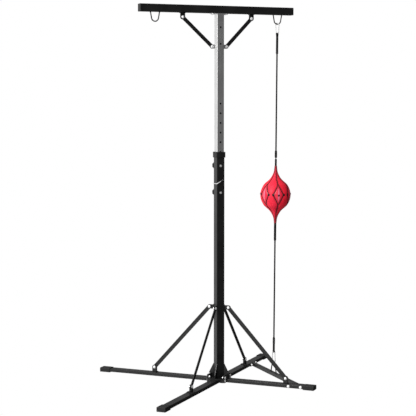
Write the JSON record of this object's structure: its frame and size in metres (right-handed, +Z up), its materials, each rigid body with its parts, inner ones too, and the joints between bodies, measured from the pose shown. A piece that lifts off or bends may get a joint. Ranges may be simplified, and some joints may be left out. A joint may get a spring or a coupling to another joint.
{
  "type": "boxing stand",
  "caption": "Free-standing height-adjustable boxing stand: splayed legs with braces, telescopic post, braced T-bar with wire hooks, and a teardrop double-end ball on elastic cords.",
  "frame": {"origin": "on the floor, under the axis of the post", "axes": "+X along the T-bar towards the ball, +Y to the back, away from the height holes' pin side, +Z up"},
  "size_m": [1.1918, 1.1988, 2.265],
  "materials": {
    "black_steel": "satin black powder coat",
    "zinc_steel": "satin silver-grey coat",
    "black_plastic": "fine-textured black plastic",
    "bright_steel": "bright zinc plating",
    "snap_steel": "polished plating",
    "black_webbing": "woven nylon webbing",
    "elastic_cord": "braided sleeve over rubber strands",
    "red_leather": "smooth stitched synthetic leather",
    "bladder_rubber": "moulded rubber"
  },
  "bodies": {
    "base": {"long_leg": "black_steel", "left_leg": "black_steel", "right_leg": "black_steel", "front_cap": "black_plastic", "back_cap": "black_plastic", "left_cap": "black_plastic", "right_cap": "black_plastic", "base_hub": "black_steel", "lower_post": "black_steel", "post_collar": "black_plastic", "brace_band": "black_steel", "front_brace": "black_steel", "back_brace": "black_steel", "left_brace": "black_steel", "right_brace": "black_steel", "front_bracket": "black_steel", "back_bracket": "black_steel", "left_bracket": "black_steel", "right_bracket": "black_steel", "spreader_bar": "black_steel", "spreader_plates": "black_steel", "anchor_hook": "black_steel", "short_bolts": "bright_steel", "bracket_bolts": "bright_steel", "spreader_bolts": "bright_steel", "base_nuts": "bright_steel", "knob_nuts": "black_steel", "guide_screws": "bright_steel"},
    "mast": {"upper_post": "zinc_steel", "mast_bush": "black_plastic", "top_plate": "zinc_steel", "top_bar": "black_steel", "bar_caps": "black_plastic", "left_bar_brace": "black_steel", "right_bar_brace": "black_steel", "bar_brackets": "black_steel", "mast_lugs": "zinc_steel", "left_hook": "black_steel", "right_hook": "black_steel", "bar_bolts": "bright_steel", "bar_brace_bolts": "bright_steel", "mast_nuts": "bright_steel"},
    "lock_pin": {"lock_pin": "black_steel"},
    "pin_bail": {"pin_bail": "bright_steel"},
    "upper_clamp": {"upper_knob": "black_plastic", "upper_knob_screw": "bright_steel"},
    "lower_clamp": {"lower_knob": "black_plastic", "lower_knob_screw": "bright_steel"},
    "top_snap": {"top_carabiner": "snap_steel"},
    "top_snap_gate": {"top_gate": "snap_steel"},
    "upper_line": {"upper_strap": "black_webbing", "upper_cord": "elastic_cord"},
    "ball": {"ball_casing": "red_leather", "ball_bladder": "bladder_rubber", "ball_straps": "black_webbing"},
    "anchor_snap": {"anchor_carabiner": "snap_steel"},
    "anchor_snap_gate": {"anchor_gate": "snap_steel"},
    "lower_line": {"lower_strap": "black_webbing", "lower_cord": "elastic_cord"}
  },
  "joints": [
    {"name": "mast_height", "type": "slide", "parent": "base", "child": "mast", "axis": [0, 0, 1], "range_m": [-0.46, 0], "deforming": ["upper_cord", "lower_cord"]},
    {"name": "pin_travel", "type": "slide", "parent": "base", "child": "lock_pin", "axis": [0, 1, 0], "range_m": [-0.03, 0.008]},
    {"name": "bail_swing", "type": "hinge", "parent": "lock_pin", "child": "pin_bail", "pos_m": [0, -0.0372, 1.226], "axis": [0.848, 0, 0.5299], "range_deg": [0, 110]},
    {"name": "upper_knob_turn", "type": "hinge", "parent": "base", "child": "upper_clamp", "pos_m": [0, 0.05, 1.3145], "axis": [0, 1, 0], "range_deg": [-180, 180]},
    {"name": "lower_knob_turn", "type": "hinge", "parent": "base", "child": "lower_clamp", "pos_m": [0, 0.05, 1.1535], "axis": [0, 1, 0], "range_deg": [-180, 180]},
    {"name": "fore_swing", "type": "hinge", "parent": "mast", "child": "top_snap", "pos_m": [0.382, 0, 2.165], "axis": [1, 0, 0], "range_deg": [-4.5, 4.5]},
    {"name": "side_swing", "type": "hinge", "parent": "top_snap", "child": "upper_line", "pos_m": [0.382, 0.00091, 2.10601], "axis": [0, 1, 0], "range_deg": [-4.5, 4.5]},
    {"name": "ball_height", "type": "slide", "parent": "upper_line", "child": "ball", "axis": [0, 0, 1], "range_m": [0, 0.23]},
    {"name": "anchor_side", "type": "hinge", "parent": "base", "child": "anchor_snap", "pos_m": [0.382, 0.032, 0.088], "axis": [0, 1, 0], "range_deg": [-7.5, 7.5]},
    {"name": "anchor_fore", "type": "hinge", "parent": "anchor_snap", "child": "lower_line", "pos_m": [0.382, 0.03102, 0.15174], "axis": [1, 0, 0], "range_deg": [-8.6, 8.6]},
    {"name": "top_gate_turn", "type": "hinge", "parent": "top_snap", "child": "top_snap_gate", "pos_m": [0.37611, 0.00658, 2.12027], "axis": [0.7071, 0.707, 0.0109], "range_deg": [0, 20], "stiffness_Nm_per_rad": 0.002},
    {"name": "anchor_gate_turn", "type": "hinge", "parent": "anchor_snap", "child": "anchor_snap_gate", "pos_m": [0.39031, 0.03124, 0.13753], "axis": [0, 0.9999, 0.0154], "range_deg": [0, 20], "stiffness_Nm_per_rad": 0.002}
  ],
  "couplings": [
    {"joint": "ball_height", "follows": "mast_height", "ratio": -0.5},
    {"joint": "anchor_side", "follows": "side_swing", "ratio": -1.6658},
    {"joint": "anchor_fore", "follows": "fore_swing", "ratio": -1.9034}
  ]
}
